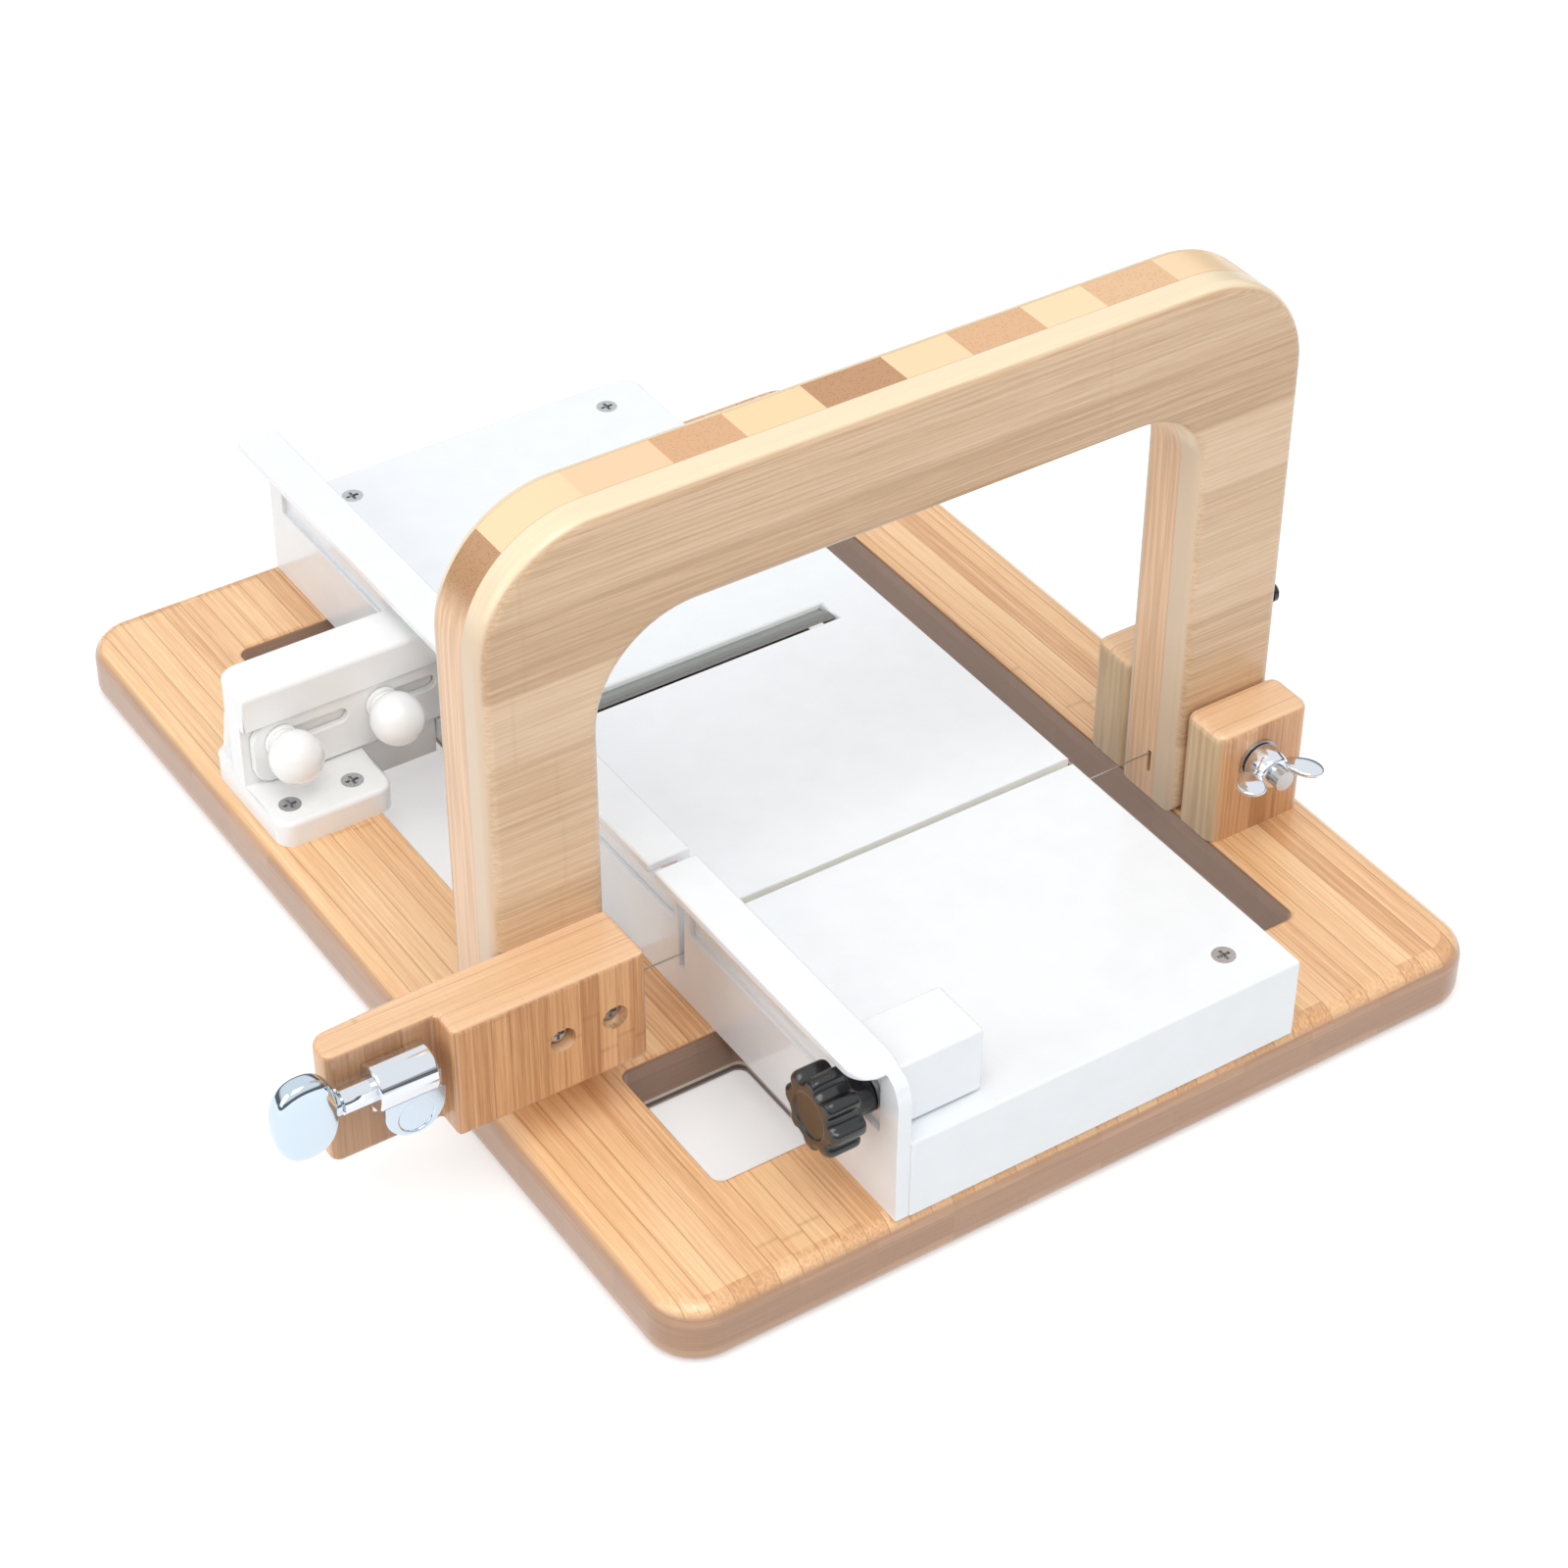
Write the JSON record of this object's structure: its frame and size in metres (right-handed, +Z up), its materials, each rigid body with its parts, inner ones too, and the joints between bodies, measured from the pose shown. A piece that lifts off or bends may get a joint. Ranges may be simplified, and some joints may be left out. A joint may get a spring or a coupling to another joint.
{
  "type": "soap cutter",
  "caption": "Bamboo soap cutter with a hinged arch that carries the wire, a white deck with a planer blade, and a side fence with a sliding stop and a corner trimmer.",
  "frame": {"origin": "centre of the underside of the base board", "axes": "+X along the arch from the wire tuner to the pivot, +Y from the front edge to the rear edge, +Z up"},
  "size_m": [0.3212, 0.3344, 0.1884],
  "materials": {
    "bamboo": "satin lacquer",
    "pale_bamboo": "satin lacquer",
    "white_plastic": "glossy",
    "black_plastic": "glossy",
    "steel": "brushed",
    "chrome": "polished",
    "brass": "machined"
  },
  "bodies": {
    "base": {"base_board": "bamboo", "deck_body": "white_plastic", "deck_screws": "steel", "side_fence": "white_plastic", "planer_blade": "steel", "blade_clamp": "steel", "blade_clamp_screws": "steel", "bevel_bracket": "white_plastic", "bevel_bracket_screws": "steel", "pivot_block_front": "bamboo", "pivot_block_rear": "bamboo", "pivot_block_screws": "steel", "pivot_bolt": "steel", "pivot_washer": "steel"},
    "arch": {"arch_frame": "pale_bamboo", "arm_block": "bamboo", "arm_screws": "steel", "side_screw": "black_plastic", "wire_anchor_screw": "steel", "cutting_wire": "steel", "tuner_housing": "chrome", "tuner_cover": "chrome", "tuner_bush": "chrome", "tuner_washer": "chrome"},
    "tuner": {"tuner_shaft": "steel", "tuner_button": "chrome", "button_screw": "steel"},
    "post": {"tuner_gear": "brass", "string_post": "chrome", "gear_screw": "steel"},
    "wing_nut": {"wing_nut": "chrome"},
    "stop": {"stop_block": "white_plastic", "stop_stud": "steel", "stop_washer": "steel"},
    "star_knob": {"star_knob": "black_plastic"},
    "bevel_plate": {"bevel_plate": "white_plastic", "bevel_blade": "steel", "bevel_blade_screws": "steel"},
    "bevel_knob_left": {"bevel_knob_left": "white_plastic"},
    "bevel_knob_right": {"bevel_knob_right": "white_plastic"}
  },
  "joints": [
    {"name": "arch_swing", "type": "hinge", "parent": "base", "child": "arch", "pos_m": [0.1055, -0.0673, 0.0426], "axis": [0, 1, 0], "range_deg": [0, 98]},
    {"name": "tuner_turn", "type": "hinge", "parent": "arch", "child": "tuner", "pos_m": [-0.1576, -0.0939, 0.05975], "axis": [1, 0, 0], "continuous": true},
    {"name": "post_turn", "type": "hinge", "parent": "arch", "child": "post", "pos_m": [-0.1576, -0.0939, 0.05175], "axis": [0, 1, 0], "continuous": true},
    {"name": "wing_nut_turn", "type": "hinge", "parent": "base", "child": "wing_nut", "pos_m": [0.1055, -0.0974, 0.0426], "axis": [0, 1, 0], "continuous": true},
    {"name": "stop_slide", "type": "slide", "parent": "base", "child": "stop", "axis": [0, 1, 0], "range_m": [0, 0.067]},
    {"name": "star_knob_turn", "type": "hinge", "parent": "stop", "child": "star_knob", "pos_m": [-0.0748, -0.152, 0.0514], "axis": [1, 0, 0], "continuous": true},
    {"name": "bevel_slide", "type": "slide", "parent": "base", "child": "bevel_plate", "axis": [1, 0, 0], "range_m": [-0.014, 0]},
    {"name": "bevel_knob_left_turn", "type": "hinge", "parent": "base", "child": "bevel_knob_left", "pos_m": [-0.1126, 0.0566, 0.0398], "axis": [0, 1, 0], "continuous": true},
    {"name": "bevel_knob_right_turn", "type": "hinge", "parent": "base", "child": "bevel_knob_right", "pos_m": [-0.0812, 0.0566, 0.0398], "axis": [0, 1, 0], "continuous": true}
  ],
  "couplings": [
    {"joint": "post_turn", "follows": "tuner_turn", "ratio": -0.071429}
  ]
}
